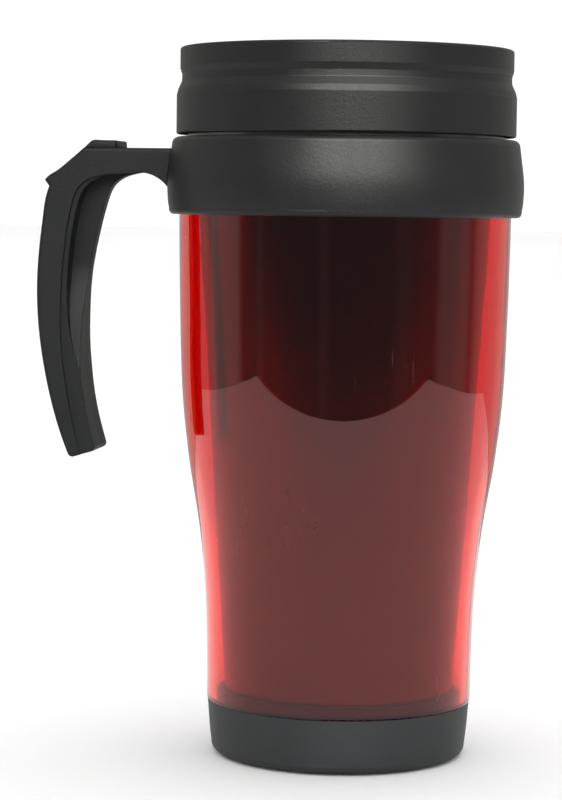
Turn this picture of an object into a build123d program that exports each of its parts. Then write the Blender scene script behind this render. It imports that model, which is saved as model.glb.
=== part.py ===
from build123d import *
import os

# Double-wall insulated travel mug, about 16 fl oz, with a push-fit slide lid
# and an open C handle.  Millimetres, +Z up.
# Origin: centre of the resting face, on the mug's own axis.
# The handle points to -X.  The drinking hole is at +Y.

# ---------------------------------------------------------------- dimensions
# overall
top_z = 170.3            # top of the lid's rim
collar_top_z = 148.9
collar_bottom_z = 130.45
cap_joint_z = 13.3       # lower end of the outer shell, on the base cap

# outer shell (translucent, tapered, waisted)
shell_wall = 2.2
shell_top_z = 140.9
shell_line = [           # (radius, height) along the outside
    (32.10, cap_joint_z), (32.12, 20.0), (32.31, 28.5), (32.66, 38.0),
    (33.30, 46.0), (34.07, 53.3), (35.27, 61.1), (36.63, 68.9),
    (37.70, 76.7), (38.53, 84.5), (39.05, 92.3), (39.36, 101.0),
    (39.66, 112.0), (39.86, 124.0), (39.97, 132.0), (40.00, shell_top_z)]

# inner liner (drinking vessel)
liner_wall = 1.8
liner_bottom_z = 8.6
liner_bottom_r = 27.2    # outside
liner_waist_z = 138.0
liner_waist_r = 35.6     # outside, just below the flange
mouth_r = 36.3           # bore of the mouth
neck_r = 38.25           # outside of the neck above the flange
liner_top_z = 161.3
flange_lo_z = 141.6
flange_hi_z = 144.2
flange_r = 40.1

# collar
collar_line = [          # (radius, height) along the outside
    (42.46, 131.9), (42.66, 133.0), (42.84, 134.9), (42.94, 137.3),
    (42.78, 140.3), (42.47, 142.8), (42.14, 145.2), (41.85, 147.4)]
collar_bore_low = 40.2   # around the outer shell
collar_bore_top = 38.35  # around the liner's neck

# base
cap_line = [             # (radius, height) along the outside
    (31.88, cap_joint_z), (31.74, 11.9), (31.45, 8.0), (31.15, 5.0), (30.85, 2.6)]
cap_bottom_z = 0.4
cap_floor = 2.0
spigot_top_z = 16.2
spigot_r = 29.1
pad_outer_r = 26.5
pad_recess = 1.0

# lid
lid_bottom_z = 149.6
skirt_bore_r = 38.7
deck_hi_z = 163.6
deck_lo_z = 161.6
lid_band_r = 40.85
lid_groove_r = 39.55
lid_lip_r = 40.05
dish_r_low = 36.9
dish_r_top = 37.7

# insert under the deck
insert_r = 35.8
insert_wall = 2.0
insert_floor_lo = 152.6
insert_floor_hi = 154.2
groove_r = 34.5
groove_lo = 155.9
groove_hi = 159.1

# sliding shutter
slide_half_w = 9.0
slide_y0 = 0.0
slide_y1 = 33.0
slide_z0 = deck_hi_z + 0.3
slide_t = 2.0
leg_half_w = 2.6
leg_y0 = 13.6
leg_y1 = 17.6
slide_travel = 12.0
sip_y = 27.5
sip_len = 13.0
sip_wid = 6.5

# handle
handle_w = 15.0          # front to back
arm_top_z = 146.2
tenon_w = 9.0
tenon_h = 2.4
tenon_z = (140.9, 143.9)


# ------------------------------------------------------------------- helpers
def fillet_at(face, picks):
    """Round the corners of a flat face; picks are (x, y, radius)."""
    for px, py, r in picks:
        v = sorted(face.vertices(), key=lambda q: (q.X - px) ** 2 + (q.Y - py) ** 2)[0]
        face = face.fillet_2d(r, [v])
    return face


def poly_face(points, picks=()):
    face = make_face(Polyline(*points, close=True)).face()
    return fillet_at(face, picks)


def turned(face):
    """Revolve a (radius, height) face about the mug's axis."""
    return revolve(Plane.XZ * face, axis=Axis.Z, revolution_arc=360)


def pocket(face, y_lo, y_hi):
    """Extrude an (x, z) face from y_lo to y_hi."""
    solid = extrude(Plane.XZ * face, amount=-(y_hi - y_lo))   # normal is -Y
    return Pos(0, y_lo, 0) * solid


def box(x0, x1, y0, y1, z0, z1):
    return Pos((x0 + x1) / 2, (y0 + y1) / 2, (z0 + z1) / 2) * Box(x1 - x0, y1 - y0, z1 - z0)


def slot_block(cx, cy, length, width, z0, z1):
    """Stadium-shaped block lying along X."""
    r = width / 2
    f = make_face(Pos(cx, cy) * SlotOverall(length, width).wire()).face()
    return extrude(Pos(0, 0, z0) * f, amount=z1 - z0)


def ring(r_in, r_out, z0, z1, picks=()):
    return turned(poly_face([(r_in, z0), (r_out, z0), (r_out, z1), (r_in, z1)], picks))


nodes = {}

# --------------------------------------------------------------- outer shell
outer = Spline(*shell_line)
inner_pts = [(r - shell_wall, z) for r, z in shell_line]
inner = Spline(*inner_pts)
shell_face = make_face([
    outer, inner,
    Line(shell_line[0], inner_pts[0]),
    Line(shell_line[-1], inner_pts[-1])]).face()
shell_face = fillet_at(shell_face, [(shell_line[0][0], cap_joint_z, 0.5)])
nodes["outer_shell"] = turned(shell_face)

# --------------------------------------------------------------- inner liner
# Tapered cup with a rounded bottom, a flange that sits over the shell's top
# edge, and a straight mouth that the lid's gasket seals in.
lt = liner_wall
liner_face = poly_face([
    (0, liner_bottom_z), (liner_bottom_r, liner_bottom_z),
    (liner_waist_r, liner_waist_z), (liner_waist_r + 0.9, flange_lo_z),
    (flange_r, flange_lo_z), (flange_r, flange_hi_z),
    (neck_r, flange_hi_z), (neck_r, liner_top_z),
    (mouth_r, liner_top_z), (mouth_r, 150.0),
    (liner_waist_r - lt + 0.25, 142.5),
    (liner_bottom_r - lt + 0.15, liner_bottom_z + lt), (0, liner_bottom_z + lt)],
    [(liner_bottom_r, liner_bottom_z, 5.0), (liner_bottom_r - lt + 0.15, liner_bottom_z + lt, 3.6),
     (neck_r, liner_top_z, 0.6), (mouth_r, liner_top_z, 0.6),
     (mouth_r, 150.0, 3.0), (liner_waist_r - lt + 0.25, 142.5, 3.0)])
nodes["inner_liner"] = turned(liner_face)

# upper seal: flat ring squeezed between the liner's flange and the shell
nodes["upper_seal"] = ring(38.0, 39.9, shell_top_z, flange_lo_z)

# -------------------------------------------------------------------- collar
collar_edges = [Spline(*collar_line)]
b0, b1 = collar_line[0], collar_line[-1]
low = ThreePointArc((41.45, collar_bottom_z), (42.16, 130.86), b0)
high = ThreePointArc(b1, (41.38, 148.46), (40.6, collar_top_z))
collar_face = make_face([
    low, collar_edges[0], high,
    Polyline((40.6, collar_top_z), (collar_bore_top, collar_top_z),
             (collar_bore_top, flange_hi_z + 0.05), (collar_bore_low, flange_hi_z + 0.05),
             (collar_bore_low, collar_bottom_z), (41.45, collar_bottom_z))]).face()
collar_solid = turned(collar_face)

# filled outer form of the collar, used to shape what meets it
filled_face = make_face([
    low, collar_edges[0], high,
    Polyline((40.6, collar_top_z), (0, collar_top_z), (0, collar_bottom_z),
             (41.45, collar_bottom_z))]).face()
collar_filled = turned(filled_face)

# two slots through the wall take the handle's tenons
for tz in tenon_z:
    collar_solid -= box(-44, -39, -tenon_w / 2, tenon_w / 2, tz - tenon_h / 2, tz + tenon_h / 2)
nodes["collar"] = collar_solid

# -------------------------------------------------------------------- handle
# One moulding in three layers, all symmetric about the X-Z plane:
#   body   full width: straight arm, sloping shoulder with a small lip, and the
#          curved outer flange of the grip, open at the bottom
#   ledge  the same grip, a little narrower, set back from the flange's edge
#   web    thin central wall that fills the inside corner; it thickens
#          downwards in a long ramp until it is flush with the ledge
grip_out = [(-71.50, 136.8), (-71.95, 135.6), (-72.58, 133.0), (-73.09, 129.0), (-73.63, 124.5), (-74.10, 119.5),
            (-74.38, 114.0), (-74.34, 108.5), (-73.98, 103.0), (-73.32, 97.5), (-72.44, 92.3),
            (-71.46, 87.6), (-70.22, 82.7), (-68.87, 78.2), (-67.60, 74.6), (-66.00, 70.75)]
grip_in = [(-59.45, 72.75), (-59.88, 74.2), (-61.11, 78.5), (-62.16, 83.0), (-62.94, 87.5),
           (-63.46, 92.0), (-63.72, 96.5), (-63.74, 101.0), (-63.51, 106.0), (-63.05, 111.0),
           (-62.38, 116.0), (-61.53, 121.0), (-60.48, 126.0), (-59.50, 130.0), (-58.50, 133.5),
           (-57.75, 135.6), (-56.85, 137.1), (-55.45, 138.4), (-53.6, 139.4), (-51.3, 140.05),
           (-49.0, 140.5)]
flange_in = [(-63.30, 71.6), (-63.66, 73.0), (-65.07, 78.5), (-66.03, 83.0), (-66.86, 87.5),
             (-67.56, 92.0), (-68.09, 96.5), (-68.41, 101.0), (-68.52, 106.0), (-68.40, 111.0),
             (-68.09, 116.0), (-67.64, 121.0), (-67.04, 126.0), (-66.38, 130.0), (-65.68, 133.0),
             (-64.80, 135.5), (-63.60, 137.2), (-61.90, 138.4), (-59.77, 139.2), (-57.8, 139.68),
             (-55.83, 139.98), (-53.4, 140.22), (-50.92, 140.38), (-48.71, 140.28),
             (-46.75, 139.95), (-45.02, 139.24), (-43.5, 138.2), (-42.31, 137.0), (-41.0, 135.2)]
ledge_in = [(-62.60, 89.6), (-63.95, 93.2), (-65.26, 96.9), (-66.06, 100.5), (-66.62, 104.3), (-66.95, 109.0),
            (-66.94, 114.0), (-66.64, 119.0), (-66.16, 123.5), (-65.57, 127.5), (-64.87, 131.0),
            (-64.05, 134.0), (-62.95, 136.2), (-61.40, 137.75), (-59.40, 138.9), (-58.2, 139.8)]
half = handle_w / 2
lip_top = (-72.60, 138.30)
shoulder = Spline(lip_top, (-71.15, 139.68), (-69.91, 140.42), (-67.94, 141.88), (-66.22, 143.34),
                  (-64.5, 144.80), (-62.95, arm_top_z))
body_face = make_face([
    Spline(*grip_out),
    Line(grip_out[-1], flange_in[0]),
    Spline(*flange_in),
    Line(flange_in[-1], (-38.0, 135.2)), Line((-38.0, 135.2), (-38.0, arm_top_z)),
    Line((-38.0, arm_top_z), (-62.95, arm_top_z)),
    shoulder,
    Line(lip_top, grip_out[0])]).face()
body_face = fillet_at(body_face, [(-66.0, 70.75, 1.2)])
handle = extrude(Plane.XZ * body_face, amount=half, both=True)
rim_edges = [e for e in handle.edges()
             if abs(abs(e.center().Y) - half) < 1e-4 and e.bounding_box().min.X < -45
             and e.length < 80]          # the long inner edge is left crisp
for r in (0.8, 0.6, 0.4):
    try:
        handle = fillet(rim_edges, r)
        print("handle body rounded", r)
        break
    except Exception as err:
        print("rounding failed", r, err)

ledge_h = half - 0.7
web_h = 1.75
# the grip's whole inner contour, as thick as the ledge
inner_face = make_face([
    Spline(*grip_in),
    Polyline(grip_in[-1], (-49.0, 142.0), (-64.0, 142.0), (-69.6, 136.0), (-71.2, 124.0),
             (-71.6, 112.0), (-71.1, 101.0), (-69.5, 90.0), (-67.3, 81.0), (-65.0, 73.6),
             (-64.6, 71.25), grip_in[0])]).face()
inner_face = fillet_at(inner_face, [(grip_in[0][0], grip_in[0][1], 1.2)])
inner_prism = extrude(Plane.XZ * inner_face, amount=ledge_h, both=True)
# what is kept of it: all of it behind the ledge's edge ...
ledge_face = make_face([
    Spline(*ledge_in),
    Polyline(ledge_in[-1], (-58.2, 144.0), (-76.0, 144.0), (-76.0, 66.0), (-52.0, 66.0),
             (-52.0, 89.0), ledge_in[0])]).face()
keep = extrude(Plane.XZ * ledge_face, amount=half + 2, both=True)
# ... and the web with its ramp in front of that edge
ramp_side = [(web_h, 118.0), (2.0, 115.5), (2.95, 111.3), (4.25, 106.8), (5.2, 102.0), (6.05, 97.0),
             (6.8, 92.6), (7.6, 87.5)]
ramp_face = make_face([
    Line((-web_h, 147.0), (web_h, 147.0)), Line((web_h, 147.0), (web_h, 118.0)),
    Spline(*ramp_side, tangents=[(0, -1), (0.16, -1)]),
    Line((7.6, 87.5), (-7.6, 87.5)),
    Spline(*[(-q, z) for q, z in ramp_side], tangents=[(0, -1), (-0.16, -1)]),
    Line((-web_h, 118.0), (-web_h, 147.0))]).face()
ramp_body = Pos(-60, 0, 0) * extrude(Plane.YZ * ramp_face, amount=25, both=True)
web = inner_prism & (keep + ramp_body)
if not isinstance(web, Solid):
    web = web.solids()[0]
upper_edges = [e for e in web.edges()
               if e.length > 12 and e.bounding_box().max.X > -56 and e.bounding_box().min.Z > 110
               and e.bounding_box().max.Z < 141.5]
try:
    web = fillet(upper_edges, 0.6)
    print("web rounded", len(upper_edges))
except Exception as err:
    print("web left square", err)
handle += web

# root of the arm: follows the collar's outside, with two tenons
tenons = None
for tz in tenon_z:
    t = box(-43.4, -collar_bore_low - 0.25, -tenon_w / 2 + 0.05, tenon_w / 2 - 0.05,
            tz - tenon_h / 2 + 0.05, tz + tenon_h / 2 - 0.05)
    tenons = t if tenons is None else tenons + t
handle = handle - collar_filled
handle = handle + tenons
# two blind holes in the arm's top for the thumb rest's pegs
peg_x = -58.6
peg_y = 3.8
for s in (-1, 1):
    handle -= Pos(peg_x, s * peg_y, arm_top_z - 1.5) * Cylinder(1.5, 3.0)
nodes["handle"] = handle

# --------------------------------------------------------------- thumb rest
rest_w = handle_w - 1.4
rest_x0, rest_x1 = -62.95, -55.0
rest_face = make_face([
    Line((rest_x0, arm_top_z), (rest_x1 - 0.25, arm_top_z)),
    Line((rest_x1 - 0.25, arm_top_z), (rest_x1, arm_top_z + 0.3)),
    Line((rest_x1, arm_top_z + 0.3), (rest_x1 - 0.05, arm_top_z + 1.35)),
    ThreePointArc((rest_x1 - 0.05, arm_top_z + 1.35), (rest_x1 - 0.2, arm_top_z + 1.68),
                  (rest_x1 - 0.55, arm_top_z + 1.8)),
    Spline((rest_x1 - 0.55, arm_top_z + 1.8), (-57.6, arm_top_z + 1.8), (-60.05, arm_top_z + 1.9)),
    ThreePointArc((-60.05, arm_top_z + 1.9), (-60.9, arm_top_z + 1.78), (-61.65, arm_top_z + 1.28)),
    Line((-61.65, arm_top_z + 1.28), (rest_x0, arm_top_z))]).face()
rest = extrude(Plane.XZ * rest_face, amount=rest_w / 2, both=True)
for r in (0.7, 0.4, 0.25):
    try:
        rest = fillet([e for e in rest.edges() if abs(abs(e.center().Y) - rest_w / 2) < 1e-4
                       and e.center().Z > arm_top_z + 1.0], r)
        print("thumb rest rounded", r)
        break
    except Exception as err:
        print("thumb rest rounding failed", r, err)
for s in (-1, 1):
    rest += Pos(peg_x, s * peg_y, arm_top_z - 1.2) * Cylinder(1.45, 3.4)
nodes["thumb_rest"] = rest

# ------------------------------------------------------------------ base cap
cap_r0 = cap_line[0][0]
foot_r = cap_line[-1][0]
cap_face = make_face([
    Spline(*cap_line),
    ThreePointArc(cap_line[-1], (30.25, 1.03), (28.9, cap_bottom_z)),
    Polyline((28.9, cap_bottom_z), (pad_outer_r + 0.1, cap_bottom_z),
             (pad_outer_r + 0.1, cap_bottom_z + pad_recess), (0, cap_bottom_z + pad_recess),
             (0, cap_bottom_z + pad_recess + cap_floor),
             (26.4, cap_bottom_z + pad_recess + cap_floor), (28.0, 5.4),
             (28.0, spigot_top_z), (spigot_r, spigot_top_z), (spigot_r, cap_joint_z),
             cap_line[0])]).face()
nodes["base_cap"] = turned(cap_face)

# ring seal round the spigot, squeezed inside the shell's lower end
nodes["base_seal"] = ring(spigot_r, shell_line[0][0] - shell_wall - 0.05, cap_joint_z, 15.9,
                          [(29.9, 15.9, 0.3)])

# non-slip pad in the underside
nodes["foot_pad"] = turned(poly_face(
    [(0, 0), (pad_outer_r, 0), (pad_outer_r, cap_bottom_z + pad_recess), (0, cap_bottom_z + pad_recess)],
    [(pad_outer_r, 0.0, 0.3)]))

# ------------------------------------------------------------------ lid body
lid_face = poly_face([
    (skirt_bore_r, lid_bottom_z), (lid_band_r, lid_bottom_z), (lid_band_r, 159.0),
    (40.5, 160.35), (lid_groove_r + 0.1, 162.2), (lid_groove_r + 0.02, 163.8),
    (lid_lip_r, 165.3), (lid_lip_r, top_z), (dish_r_top, top_z), (dish_r_low, deck_hi_z),
    (0, deck_hi_z), (0, deck_lo_z), (skirt_bore_r, deck_lo_z)],
    [(lid_band_r, lid_bottom_z, 0.45), (lid_band_r, 159.0, 1.2), (40.5, 160.35, 1.0),
     (lid_groove_r + 0.1, 162.2, 0.9), (lid_groove_r + 0.02, 163.8, 0.9), (lid_lip_r, 165.3, 0.5),
     (lid_lip_r, top_z, 0.6), (dish_r_top, top_z, 1.0), (dish_r_low, deck_hi_z, 1.5),
     (skirt_bore_r, deck_lo_z, 0.8)])
lid = turned(lid_face)
# drinking hole, slot for the slide's leg, and a small vent
lid -= slot_block(0, sip_y, sip_len, sip_wid, 160, 165)
lid -= box(-leg_half_w - 0.3, leg_half_w + 0.3, leg_y0 - slide_travel - 0.4, leg_y1 + 0.4, 160, 165)
lid -= Pos(0, -27.0, 162) * Cylinder(1.2, 6)
# guide rails on the deck
for s in (-1, 1):
    rail = box(s * (slide_half_w + 0.35) if s > 0 else -(slide_half_w + 2.15),
               (slide_half_w + 2.15) if s > 0 else -(slide_half_w + 0.35),
               -13.5, 33.5, deck_hi_z - 0.3, slide_z0 + slide_t)
    rail = fillet([e for e in rail.edges().filter_by(Axis.Z)], 0.8)
    rail = fillet(rail.faces().sort_by(Axis.Z)[-1].edges(), 0.35)
    lid += rail
# end stop behind the slide
stop = box(-6, 6, -14.6, -12.9, deck_hi_z - 0.3, slide_z0 + 1.6)
stop = fillet(stop.faces().sort_by(Axis.Z)[-1].edges(), 0.4)
lid += stop
nodes["lid_body"] = lid

# ---------------------------------------------------------------- lid insert
# Shallow cup welded under the deck: it plugs the mouth, holds the gasket and
# makes an air space under the deck.
insert_face = poly_face([
    (0, insert_floor_lo), (insert_r - 0.9, insert_floor_lo), (insert_r, insert_floor_lo + 1.2),
    (insert_r, groove_lo), (groove_r, groove_lo), (groove_r, groove_hi), (insert_r, groove_hi),
    (insert_r, deck_lo_z), (groove_r - insert_wall, deck_lo_z), (groove_r - insert_wall, insert_floor_hi),
    (0, insert_floor_hi)],
    [(groove_r - insert_wall, insert_floor_hi, 0.8)])
insert = turned(insert_face)
for cx in (-6.0, 0.0, 6.0):
    insert -= Pos(cx, sip_y - 1.0, 153) * Cylinder(2.3, 5)
insert -= Pos(0, -27.0, 153) * Cylinder(1.2, 5)
nodes["lid_insert"] = insert

# gasket in the insert's groove, sealing on the mouth's bore
nodes["lid_gasket"] = turned(poly_face([
    (groove_r + 0.06, groove_lo + 0.08), (35.6, groove_lo + 0.08), (36.15, 156.7), (35.7, 157.3),
    (35.7, 157.6), (36.15, 158.3), (35.6, groove_hi - 0.08), (groove_r + 0.06, groove_hi - 0.08)],
    [(36.15, 156.7, 0.25), (36.15, 158.3, 0.25)]))

# --------------------------------------------------------------------- slide
plate_face = make_face(Polyline(
    (-slide_half_w, slide_y0), (slide_half_w, slide_y0),
    (slide_half_w, slide_y1), (-slide_half_w, slide_y1), close=True)).face()
plate_face = fillet_at(plate_face, [(-slide_half_w, slide_y0, 2.0), (slide_half_w, slide_y0, 2.0),
                                    (-slide_half_w, slide_y1, 5.0), (slide_half_w, slide_y1, 5.0)])
tab = extrude(Pos(0, 0, slide_z0) * plate_face, amount=slide_t)
tab = fillet(tab.faces().sort_by(Axis.Z)[-1].edges(), 0.5)
# raised thumb ridge with finger grooves
ridge_face = make_face([
    Line((4.0, slide_z0 + slide_t - 0.3), (17.0, slide_z0 + slide_t - 0.3)),
    Spline((17.0, slide_z0 + slide_t - 0.3), (15.2, slide_z0 + slide_t + 1.3), (13.4, slide_z0 + slide_t + 1.9)),
    Spline((13.4, slide_z0 + slide_t + 1.9), (10.5, slide_z0 + slide_t + 1.25), (7.6, slide_z0 + slide_t + 1.9)),
    Spline((7.6, slide_z0 + slide_t + 1.9), (5.8, slide_z0 + slide_t + 1.3), (4.0, slide_z0 + slide_t - 0.3))]).face()
ridge = extrude(Plane.YZ * ridge_face, amount=6.5, both=True)
tab += ridge
# leg through the deck's slot
tab += box(-leg_half_w, leg_half_w, leg_y0, leg_y1, deck_lo_z - 1.8, slide_z0 + 0.5)
# shallow pocket underneath for the seal
tab -= slot_block(0, sip_y, 16.0, 9.4, slide_z0 - 0.1, slide_z0 + 1.0)
nodes["slide_tab"] = tab

keeper = box(-7.0, 7.0, 8.0, 23.0, deck_lo_z - 1.8, deck_lo_z - 0.3)
keeper = fillet(keeper.edges().filter_by(Axis.Z), 2.0)
keeper -= box(-leg_half_w, leg_half_w, leg_y0, leg_y1, deck_lo_z - 3, deck_lo_z)
nodes["slide_keeper"] = keeper
nodes["sip_seal"] = slot_block(0, sip_y, 15.9, 9.3, deck_hi_z + 0.12, slide_z0 + 1.0)

# -------------------------------------------------------------------- output
os.makedirs("parts", exist_ok=True)
for name, solid in nodes.items():
    if not isinstance(solid, (Solid, Compound)):
        solid = Compound(children=list(solid.solids()))
    if len(solid.solids()) == 1:
        solid = solid.solids()[0]
    export_step(solid, f"parts/{name}.step")
    bb = solid.bounding_box()
    print(f"{name:14s} solids {len(solid.solids())} valid {solid.is_valid} volume {solid.volume:9.1f} "
          f"z {bb.min.Z:7.2f} {bb.max.Z:7.2f} x {bb.min.X:7.2f} {bb.max.X:7.2f}")
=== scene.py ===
import bpy, bmesh, math
from mathutils import Vector, Matrix

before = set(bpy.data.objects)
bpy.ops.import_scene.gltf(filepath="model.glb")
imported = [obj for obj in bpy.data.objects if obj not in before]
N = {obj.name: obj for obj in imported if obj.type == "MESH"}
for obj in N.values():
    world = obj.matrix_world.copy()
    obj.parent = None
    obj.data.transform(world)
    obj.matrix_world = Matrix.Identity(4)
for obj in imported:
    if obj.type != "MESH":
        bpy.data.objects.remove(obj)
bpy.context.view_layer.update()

# ------------------------------------------------------------------ helpers


class Tree:
    """Small builder for a material's node tree."""

    def __init__(self, name):
        self.mat = bpy.data.materials.new(name)
        self.mat.use_nodes = True
        self.t = self.mat.node_tree
        self.t.nodes.clear()
        self.out = self.t.nodes.new("ShaderNodeOutputMaterial")
        self.x = 0

    def node(self, kind, **props):
        n = self.t.nodes.new(kind)
        n.location = (self.x, 0)
        self.x += 200
        for k, v in props.items():
            setattr(n, k, v)
        return n

    def link(self, a, b):
        self.t.links.new(a, b)

    def coords(self):
        return self.node("ShaderNodeTexCoord").outputs["Object"]

    def mapping(self, src, scale=(1, 1, 1), rot=(0, 0, 0), loc=(0, 0, 0)):
        m = self.node("ShaderNodeMapping")
        m.inputs["Scale"].default_value = scale
        m.inputs["Rotation"].default_value = rot
        m.inputs["Location"].default_value = loc
        self.link(src, m.inputs["Vector"])
        return m.outputs["Vector"]

    def noise(self, vec, scale, detail=4.0, rough=0.55, dist=0.0, out="Fac"):
        n = self.node("ShaderNodeTexNoise")
        n.inputs["Scale"].default_value = scale
        n.inputs["Detail"].default_value = detail
        n.inputs["Roughness"].default_value = rough
        n.inputs["Distortion"].default_value = dist
        self.link(vec, n.inputs["Vector"])
        return n.outputs[out]

    def voronoi(self, vec, scale, feature="F1", rand=1.0, out="Distance"):
        n = self.node("ShaderNodeTexVoronoi", feature=feature)
        n.inputs["Scale"].default_value = scale
        n.inputs["Randomness"].default_value = rand
        self.link(vec, n.inputs["Vector"])
        return n.outputs[out]

    def ramp(self, fac, stops, interp="LINEAR"):
        r = self.node("ShaderNodeValToRGB")
        r.color_ramp.interpolation = interp
        els = r.color_ramp.elements
        while len(els) > 1:
            els.remove(els[-1])
        els[0].position = stops[0][0]
        els[0].color = stops[0][1] if len(stops[0][1]) == 4 else (*stops[0][1], 1)
        for p, c in stops[1:]:
            e = els.new(p)
            e.color = c if len(c) == 4 else (*c, 1)
        self.link(fac, r.inputs["Fac"])
        return r.outputs["Color"]

    def maprange(self, v, a, b, c, d, clamp=True):
        n = self.node("ShaderNodeMapRange", clamp=clamp)
        for i, x in zip(("From Min", "From Max", "To Min", "To Max"), (a, b, c, d)):
            n.inputs[i].default_value = x
        self.link(v, n.inputs["Value"])
        return n.outputs["Result"]

    def math(self, op, a, b=0.0, clamp=False):
        n = self.node("ShaderNodeMath", operation=op, use_clamp=clamp)
        for i, v in enumerate((a, b)):
            if isinstance(v, (int, float)):
                n.inputs[i].default_value = v
            else:
                self.link(v, n.inputs[i])
        return n.outputs[0]

    def mix(self, fac, a, b, blend="MIX"):
        n = self.node("ShaderNodeMix", data_type="RGBA", blend_type=blend)
        for i, v in (("Factor", fac), ("A", a), ("B", b)):
            s = [q for q in n.inputs if q.name == i and (q.type == "VALUE" if i == "Factor" else q.type == "RGBA")][0]
            if isinstance(v, (int, float)):
                s.default_value = v
            elif isinstance(v, tuple):
                s.default_value = v if len(v) == 4 else (*v, 1)
            else:
                self.link(v, s)
        return [q for q in n.outputs if q.type == "RGBA"][0]

    def bump(self, height, strength, distance, normal=None):
        n = self.node("ShaderNodeBump")
        n.inputs["Strength"].default_value = strength
        n.inputs["Distance"].default_value = distance
        self.link(height, n.inputs["Height"])
        if normal is not None:
            self.link(normal, n.inputs["Normal"])
        return n.outputs["Normal"]

    def principled(self, **vals):
        p = self.node("ShaderNodeBsdfPrincipled")
        for k, v in vals.items():
            s = p.inputs[k]
            if hasattr(v, "is_linked") or isinstance(v, bpy.types.NodeSocket):
                self.link(v, s)
            else:
                s.default_value = v
        self.link(p.outputs["BSDF"], self.out.inputs["Surface"])
        return p


def black_plastic(name, tone, rough, grain, tint=(1.0, 1.0, 1.0), fine=2200.0, spec=0.5, edge=0.0):
    """Satin injection-moulded polypropylene: fine spark-eroded grain, faint
    flow clouding, a few dust specks and handling marks in the sheen."""
    t = Tree(name)
    co = t.coords()
    g1 = t.noise(co, fine, 2.0, 0.5)                      # mould grain, about 0.4 mm
    g2 = t.noise(co, fine * 0.36, 3.0, 0.6)
    grain_h = t.math("ADD", t.math("MULTIPLY", g1, 0.65), t.math("MULTIPLY", g2, 0.35))
    cloud = t.noise(co, 38.0, 5.0, 0.6, 0.6)              # flow clouding
    smear = t.noise(t.mapping(co, (60, 60, 14)), 1.0, 4.0, 0.6, 1.2)
    speck = t.voronoi(co, 420.0)
    speck_m = t.maprange(speck, 0.035, 0.075, 1.0, 0.0)
    speck_gate = t.maprange(t.noise(co, 55.0, 2.0), 0.60, 0.66, 0.0, 1.0)
    dust = t.math("MULTIPLY", speck_m, speck_gate)
    lo = tuple(tone * 0.86 * c for c in tint)
    hi = tuple(tone * 1.16 * c for c in tint)
    base = t.ramp(cloud, [(0.3, lo), (0.72, hi)])
    base = t.mix(t.math("MULTIPLY", g1, 0.22), base, tuple(tone * 1.45 * c for c in tint))
    base = t.mix(t.math("MULTIPLY", dust, 0.35), base, (0.16, 0.155, 0.15))
    r = t.maprange(smear, 0.30, 0.72, rough - 0.055, rough + 0.05)
    r = t.math("ADD", r, t.math("MULTIPLY", t.math("SUBTRACT", g2, 0.5), 0.10))
    soft_edge = None
    if edge:                                              # softened moulded edges
        bev = t.node("ShaderNodeBevel", samples=6)
        bev.inputs["Radius"].default_value = edge
        soft_edge = bev.outputs["Normal"]
    n1 = t.bump(grain_h, grain, 0.00012, soft_edge)
    n2 = t.bump(cloud, 0.10, 0.0006, n1)
    t.principled(**{"Base Color": base, "Roughness": r, "Normal": n2, "Specular IOR Level": spec})
    return t.mat


def rubber(name, tone, rough=0.72):
    t = Tree(name)
    co = t.coords()
    a = t.noise(co, 1500.0, 4.0, 0.65)
    b = t.voronoi(co, 1100.0)
    cloud = t.noise(co, 60.0, 4.0, 0.6)
    base = t.ramp(cloud, [(0.3, (tone * 0.8,) * 3), (0.7, (tone * 1.25,) * 3)])
    base = t.mix(t.math("MULTIPLY", a, 0.25), base, (tone * 1.8,) * 3)
    h = t.math("ADD", t.math("MULTIPLY", a, 0.5), t.math("MULTIPLY", b, 0.5))
    r = t.maprange(cloud, 0.3, 0.7, rough - 0.06, rough + 0.06)
    t.principled(**{"Base Color": base, "Roughness": r, "Normal": t.bump(h, 0.5, 0.00015)})
    return t.mat


def silicone(name):
    t = Tree(name)
    co = t.coords()
    cloud = t.noise(co, 90.0, 4.0, 0.6)
    base = t.ramp(cloud, [(0.3, (0.58, 0.58, 0.55)), (0.7, (0.70, 0.70, 0.67))])
    fine = t.noise(co, 1800.0, 3.0, 0.6)
    r = t.maprange(cloud, 0.3, 0.7, 0.36, 0.48)
    t.principled(**{"Base Color": base, "Roughness": r, "Normal": t.bump(fine, 0.25, 0.0001),
                    "Subsurface Weight": 0.25, "Subsurface Scale": 0.002})
    return t.mat


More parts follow.
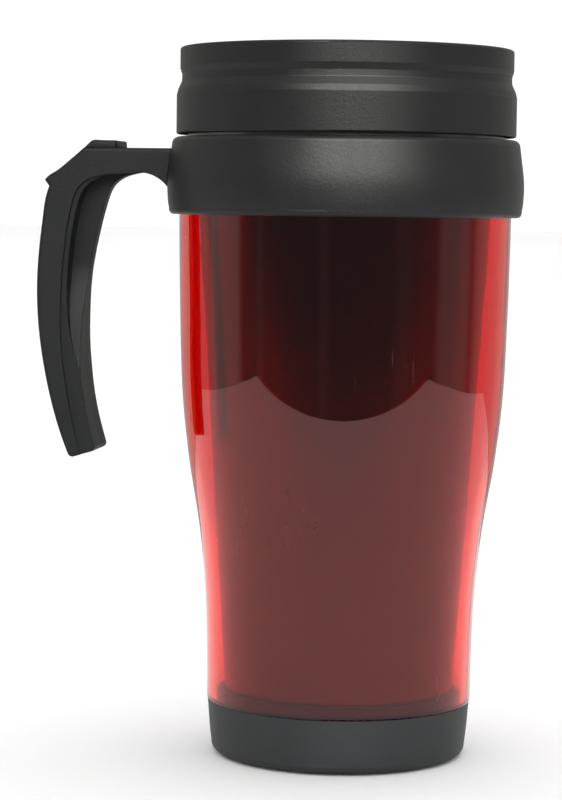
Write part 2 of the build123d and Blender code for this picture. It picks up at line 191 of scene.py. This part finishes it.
def red_shell(name):
    """Clear tinted styrene plastic: smooth and polished, tint a little
    uneven with the moulding flow, hairline scratches in the surface."""
    t = Tree(name)
    co = t.coords()
    flow = t.noise(t.mapping(co, (22, 22, 5)), 1.0, 4.0, 0.55, 0.8)
    base = t.ramp(flow, [(0.25, (0.87, 0.024, 0.006)), (0.75, (0.92, 0.034, 0.010))])
    # hairline scratches: thin ridges of stretched noise, gated into patches
    h = None
    for rot, sc, seed in ((0.5, 900.0, 0.0), (-0.35, 760.0, 3.1), (1.2, 840.0, 7.7)):
        m = t.mapping(co, (sc, sc, 16.0), (0.0, rot, rot * 0.6), (seed, seed, seed))
        s = t.noise(m, 1.0, 1.0, 0.5)
        line = t.maprange(s, 0.715, 0.745, 0.0, 1.0)
        h = line if h is None else t.math("MAXIMUM", h, line)
    gate = t.maprange(t.noise(co, 34.0, 3.0, 0.6), 0.56, 0.66, 0.0, 1.0)
    h = t.math("MULTIPLY", h, gate)
    ripple = t.noise(t.mapping(co, (28, 28, 9)), 1.0, 2.0, 0.4)
    n = t.bump(ripple, 0.05, 0.0006)
    n = t.bump(h, 0.12, 0.00003, n)
    rough = t.math("ADD", t.math("MULTIPLY", h, 0.45), 0.012)
    base = t.mix(t.math("MULTIPLY", h, 0.5), base, (0.95, 0.55, 0.50))
    t.principled(**{"Base Color": base, "Roughness": rough, "IOR": 1.50,
                    "Transmission Weight": 1.0, "Normal": n})
    return t.mat


def dress(node, mat):
    o = N[node]
    o.data.materials.clear()
    o.data.materials.append(mat)


# ---------------------------------------------------------------- materials
tint = (0.97, 1.02, 0.98)
m_collar = black_plastic("collar_black", 0.0145, 0.42, 0.55, tint, spec=0.22)
m_lid = black_plastic("lid_black", 0.0145, 0.42, 0.55, tint, spec=0.20)
m_handle = black_plastic("handle_black", 0.0175, 0.48, 0.60, (0.95, 1.04, 1.0), spec=0.10, edge=0.0005)
# base cap: the same black polypropylene as the collar. Its tone (0.027 against 0.0145) and its bluish tint are set
# lighter, which is painted light standing in for the bounce from the pale table below.
m_base_painted_bounce = black_plastic("base_black", 0.027, 0.55, 0.70, (0.95, 1.01, 1.05), spec=0.25)
m_liner = black_plastic("liner_black", 0.020, 0.20, 0.20, (1.0, 0.98, 0.98), 1400.0, 0.95)
m_seal = rubber("seal_rubber", 0.020)
m_pad = rubber("pad_rubber", 0.055, 0.85)
m_sil = silicone("seal_silicone")
m_shell = red_shell("shell_red")

for n, m in {"outer_shell": m_shell, "inner_liner": m_liner, "upper_seal": m_seal, "collar": m_collar,
             "handle": m_handle, "thumb_rest": m_handle, "base_cap": m_base_painted_bounce, "base_seal": m_seal,
             "foot_pad": m_pad, "lid_body": m_lid, "lid_insert": m_liner, "lid_gasket": m_sil,
             "slide_tab": m_lid, "slide_keeper": m_lid, "sip_seal": m_sil}.items():
    dress(n, m)

# ------------------------------------------------------------ floor, studio
AZ = math.radians(7.0)          # the viewer stands 7 degrees round from -Y
ca, sa = math.cos(AZ), math.sin(AZ)


def turn(x, y, z=0.0):
    """A place given from the viewer's side (x right, y away) in the part's frame."""
    return (x * ca - y * sa, x * sa + y * ca, z)


def plane(name, corners, z):
    me = bpy.data.meshes.new(name)
    me.from_pydata([turn(x, y, z) for x, y in corners], [], [tuple(range(len(corners)))])
    o = bpy.data.objects.new(name, me)
    bpy.context.collection.objects.link(o)
    return o


def floor_mat():
    t = Tree("floor_paper")
    co = t.coords()
    c = t.noise(co, 9.0, 4.0, 0.6)
    base = t.ramp(c, [(0.3, (0.955, 0.955, 0.955)), (0.7, (0.97, 0.97, 0.968))])
    t.principled(**{"Base Color": base, "Roughness": 0.9, "Specular IOR Level": 0.1,
                    "Normal": t.bump(t.noise(co, 700.0, 3.0, 0.6), 0.05, 0.0001)})
    return t.mat


fm = floor_mat()
# a pale rectangular table top that ends a little in front of the mug ...
table = plane("table", [(-0.64, -0.35), (0.64, -0.35), (0.64, 0.32), (-0.64, 0.32)], 0.0)
table.data.materials.append(fm)
# ... and the same pale surface all round it, which the mirror-like shell doesn't show
far = plane("floor_far", [(-14, -14), (14, -14), (14, 14), (-14, 14)], -0.0004)
far.data.materials.append(fm)
far.visible_glossy = False
far.visible_transmission = False


def area(name, loc, aim, size, power, color=(1, 1, 1), glossy=True):
    li = bpy.data.lights.new(name, "AREA")
    li.shape = "RECTANGLE"
    li.size, li.size_y = size
    li.energy = power
    li.color = color
    o = bpy.data.objects.new(name, li)
    bpy.context.collection.objects.link(o)
    o.location = turn(*loc)
    d = Vector(turn(*aim)) - Vector(turn(*loc))
    o.rotation_euler = d.to_track_quat("-Z", "Y").to_euler()
    o.visible_camera = False
    o.visible_glossy = glossy
    o.visible_transmission = glossy
    return o


area("key_top", (0.15, 0.25, 1.5), (0, 0, 0.1), (1.2, 0.9), 3.5)

# World: pale for the eye and for matt surfaces; for shiny ones a bright wall
# behind and at the sides and a dim room on the viewer's side.
w = bpy.data.worlds.new("studio")
bpy.context.scene.world = w
w.use_nodes = True
wt = w.node_tree
wt.nodes.clear()


def wn(kind, **props):
    n = wt.nodes.new(kind)
    for k, v in props.items():
        setattr(n, k, v)
    return n


def wmath(op, x, y=0.0, clamp=False):
    n = wn("ShaderNodeMath", operation=op, use_clamp=clamp)
    for i, v in enumerate((x, y)):
        if isinstance(v, (int, float)):
            n.inputs[i].default_value = v
        else:
            wt.links.new(v, n.inputs[i])
    return n.outputs[0]


def wrange(v, x0, x1, y0, y1):
    n = wn("ShaderNodeMapRange", interpolation_type="SMOOTHSTEP")
    for i, x in zip(("From Min", "From Max", "To Min", "To Max"), (x0, x1, y0, y1)):
        n.inputs[i].default_value = x
    wt.links.new(v, n.inputs["Value"])
    return n.outputs["Result"]


wo = wn("ShaderNodeOutputWorld")
lp = wn("ShaderNodeLightPath")
tc = wn("ShaderNodeTexCoord")
sep = wn("ShaderNodeSeparateXYZ")
wt.links.new(tc.outputs["Generated"], sep.inputs[0])
dx, dy, dz = sep.outputs
right = wmath("ADD", wmath("MULTIPLY", dx, ca), wmath("MULTIPLY", dy, sa))
away = wmath("SUBTRACT", wmath("MULTIPLY", dy, ca), wmath("MULTIPLY", dx, sa))
behind = wrange(away, 0.05, 0.30, 0.0, 1.0)              # the bright wall
ceiling = wrange(dz, 0.45, 0.80, 0.0, 0.30)              # pale ceiling
bearing = wmath("ARCTAN2", right, wmath("MULTIPLY", away, -1.0))   # 0 towards the viewer


def upright(c, half, soft, level):
    """A soft upright strip of the room, centred on bearing c (radians)."""
    d = wmath("ABSOLUTE", wmath("SUBTRACT", bearing, c))
    return wmath("MULTIPLY", wrange(d, half, half + soft, 1.0, 0.0), level)


# upright strips like windows and door frames: left, right and a faint one in front
strips = upright(-1.60, 0.20, 0.12, 0.50)
strips = wmath("MAXIMUM", strips, upright(1.44, 0.17, 0.14, 0.30))
strips = wmath("MAXIMUM", strips, upright(-0.24, 0.03, 0.06, 0.05))
strips = wmath("MAXIMUM", strips, upright(-1.05, 0.02, 0.05, 0.08))
strips = wmath("MAXIMUM", strips, upright(0.72, 0.05, 0.10, 0.05))
through = lp.outputs["Is Transmission Ray"]
room = wmath("ADD", wmath("MULTIPLY", through, -0.13), 0.18)
level = wmath("ADD", wmath("ADD", room, strips), ceiling)
wall = wmath("ADD", wmath("MULTIPLY", through, 0.25), 0.50)
level = wmath("MAXIMUM", level, wmath("MULTIPLY", behind, wall))
# a broad soft box above the viewer, seen only in the sheen of the surfaces
box_h = wmath("MULTIPLY", wrange(dz, 0.14, 0.36, 0.0, 1.0), wrange(dz, 0.52, 0.78, 1.0, 0.0))
box_w = wrange(wmath("ABSOLUTE", wmath("SUBTRACT", right, 0.09)), 0.22, 0.62, 1.0, 0.0)
box_f = wrange(away, -0.30, -0.15, 1.0, 0.0)
soft = wmath("MULTIPLY", wmath("MULTIPLY", box_h, box_w), box_f)
sheen = wmath("MULTIPLY", lp.outputs["Is Glossy Ray"], wmath("SUBTRACT", 1.0, through))
soft = wmath("MULTIPLY", wmath("MULTIPLY", soft, sheen), 24.0)
level = wmath("ADD", level, soft)
bg_room = wn("ShaderNodeBackground")
wt.links.new(level, bg_room.inputs["Strength"])
bg_room.inputs["Color"].default_value = (1.0, 0.985, 0.965, 1)
bg_pale = wn("ShaderNodeBackground")
bg_pale.inputs["Color"].default_value = (1.0, 1.0, 1.0, 1)
bg_pale.inputs["Strength"].default_value = 1.10
pale_ray = wmath("MAXIMUM", lp.outputs["Is Camera Ray"], lp.outputs["Is Diffuse Ray"])
mx = wn("ShaderNodeMixShader")
wt.links.new(pale_ray, mx.inputs["Fac"])
wt.links.new(bg_room.outputs[0], mx.inputs[1])
wt.links.new(bg_pale.outputs[0], mx.inputs[2])
wt.links.new(mx.outputs[0], wo.inputs["Surface"])

# ------------------------------------------------------------------- camera
cam = bpy.data.cameras.new("camera")
cam.sensor_width = 36.0
cam.sensor_fit = "AUTO"
cam.lens = 36.0 * 2650.0 / 800.0
cam.clip_start = 0.01
cam.clip_end = 50.0
co = bpy.data.objects.new("camera", cam)
bpy.context.collection.objects.link(co)
psi, th, rho = math.radians(1.3294), math.radians(4.2258), math.radians(0.7314)
f = Vector((-math.sin(psi) * math.cos(th), math.cos(psi) * math.cos(th), -math.sin(th)))
r0 = Vector((math.cos(psi), math.sin(psi), 0.0))
u0 = r0.cross(f)
r = math.cos(rho) * r0 + math.sin(rho) * u0
u = -math.sin(rho) * r0 + math.cos(rho) * u0
co.matrix_world = Matrix.Rotation(AZ, 4, "Z") @ Matrix((
    (r.x, u.x, -f.x, 0.0),
    (r.y, u.y, -f.y, -0.641),
    (r.z, u.z, -f.z, 0.1331),
    (0, 0, 0, 1)))
bpy.context.scene.camera = co

bpy.context.scene.view_settings.view_transform = "Standard"
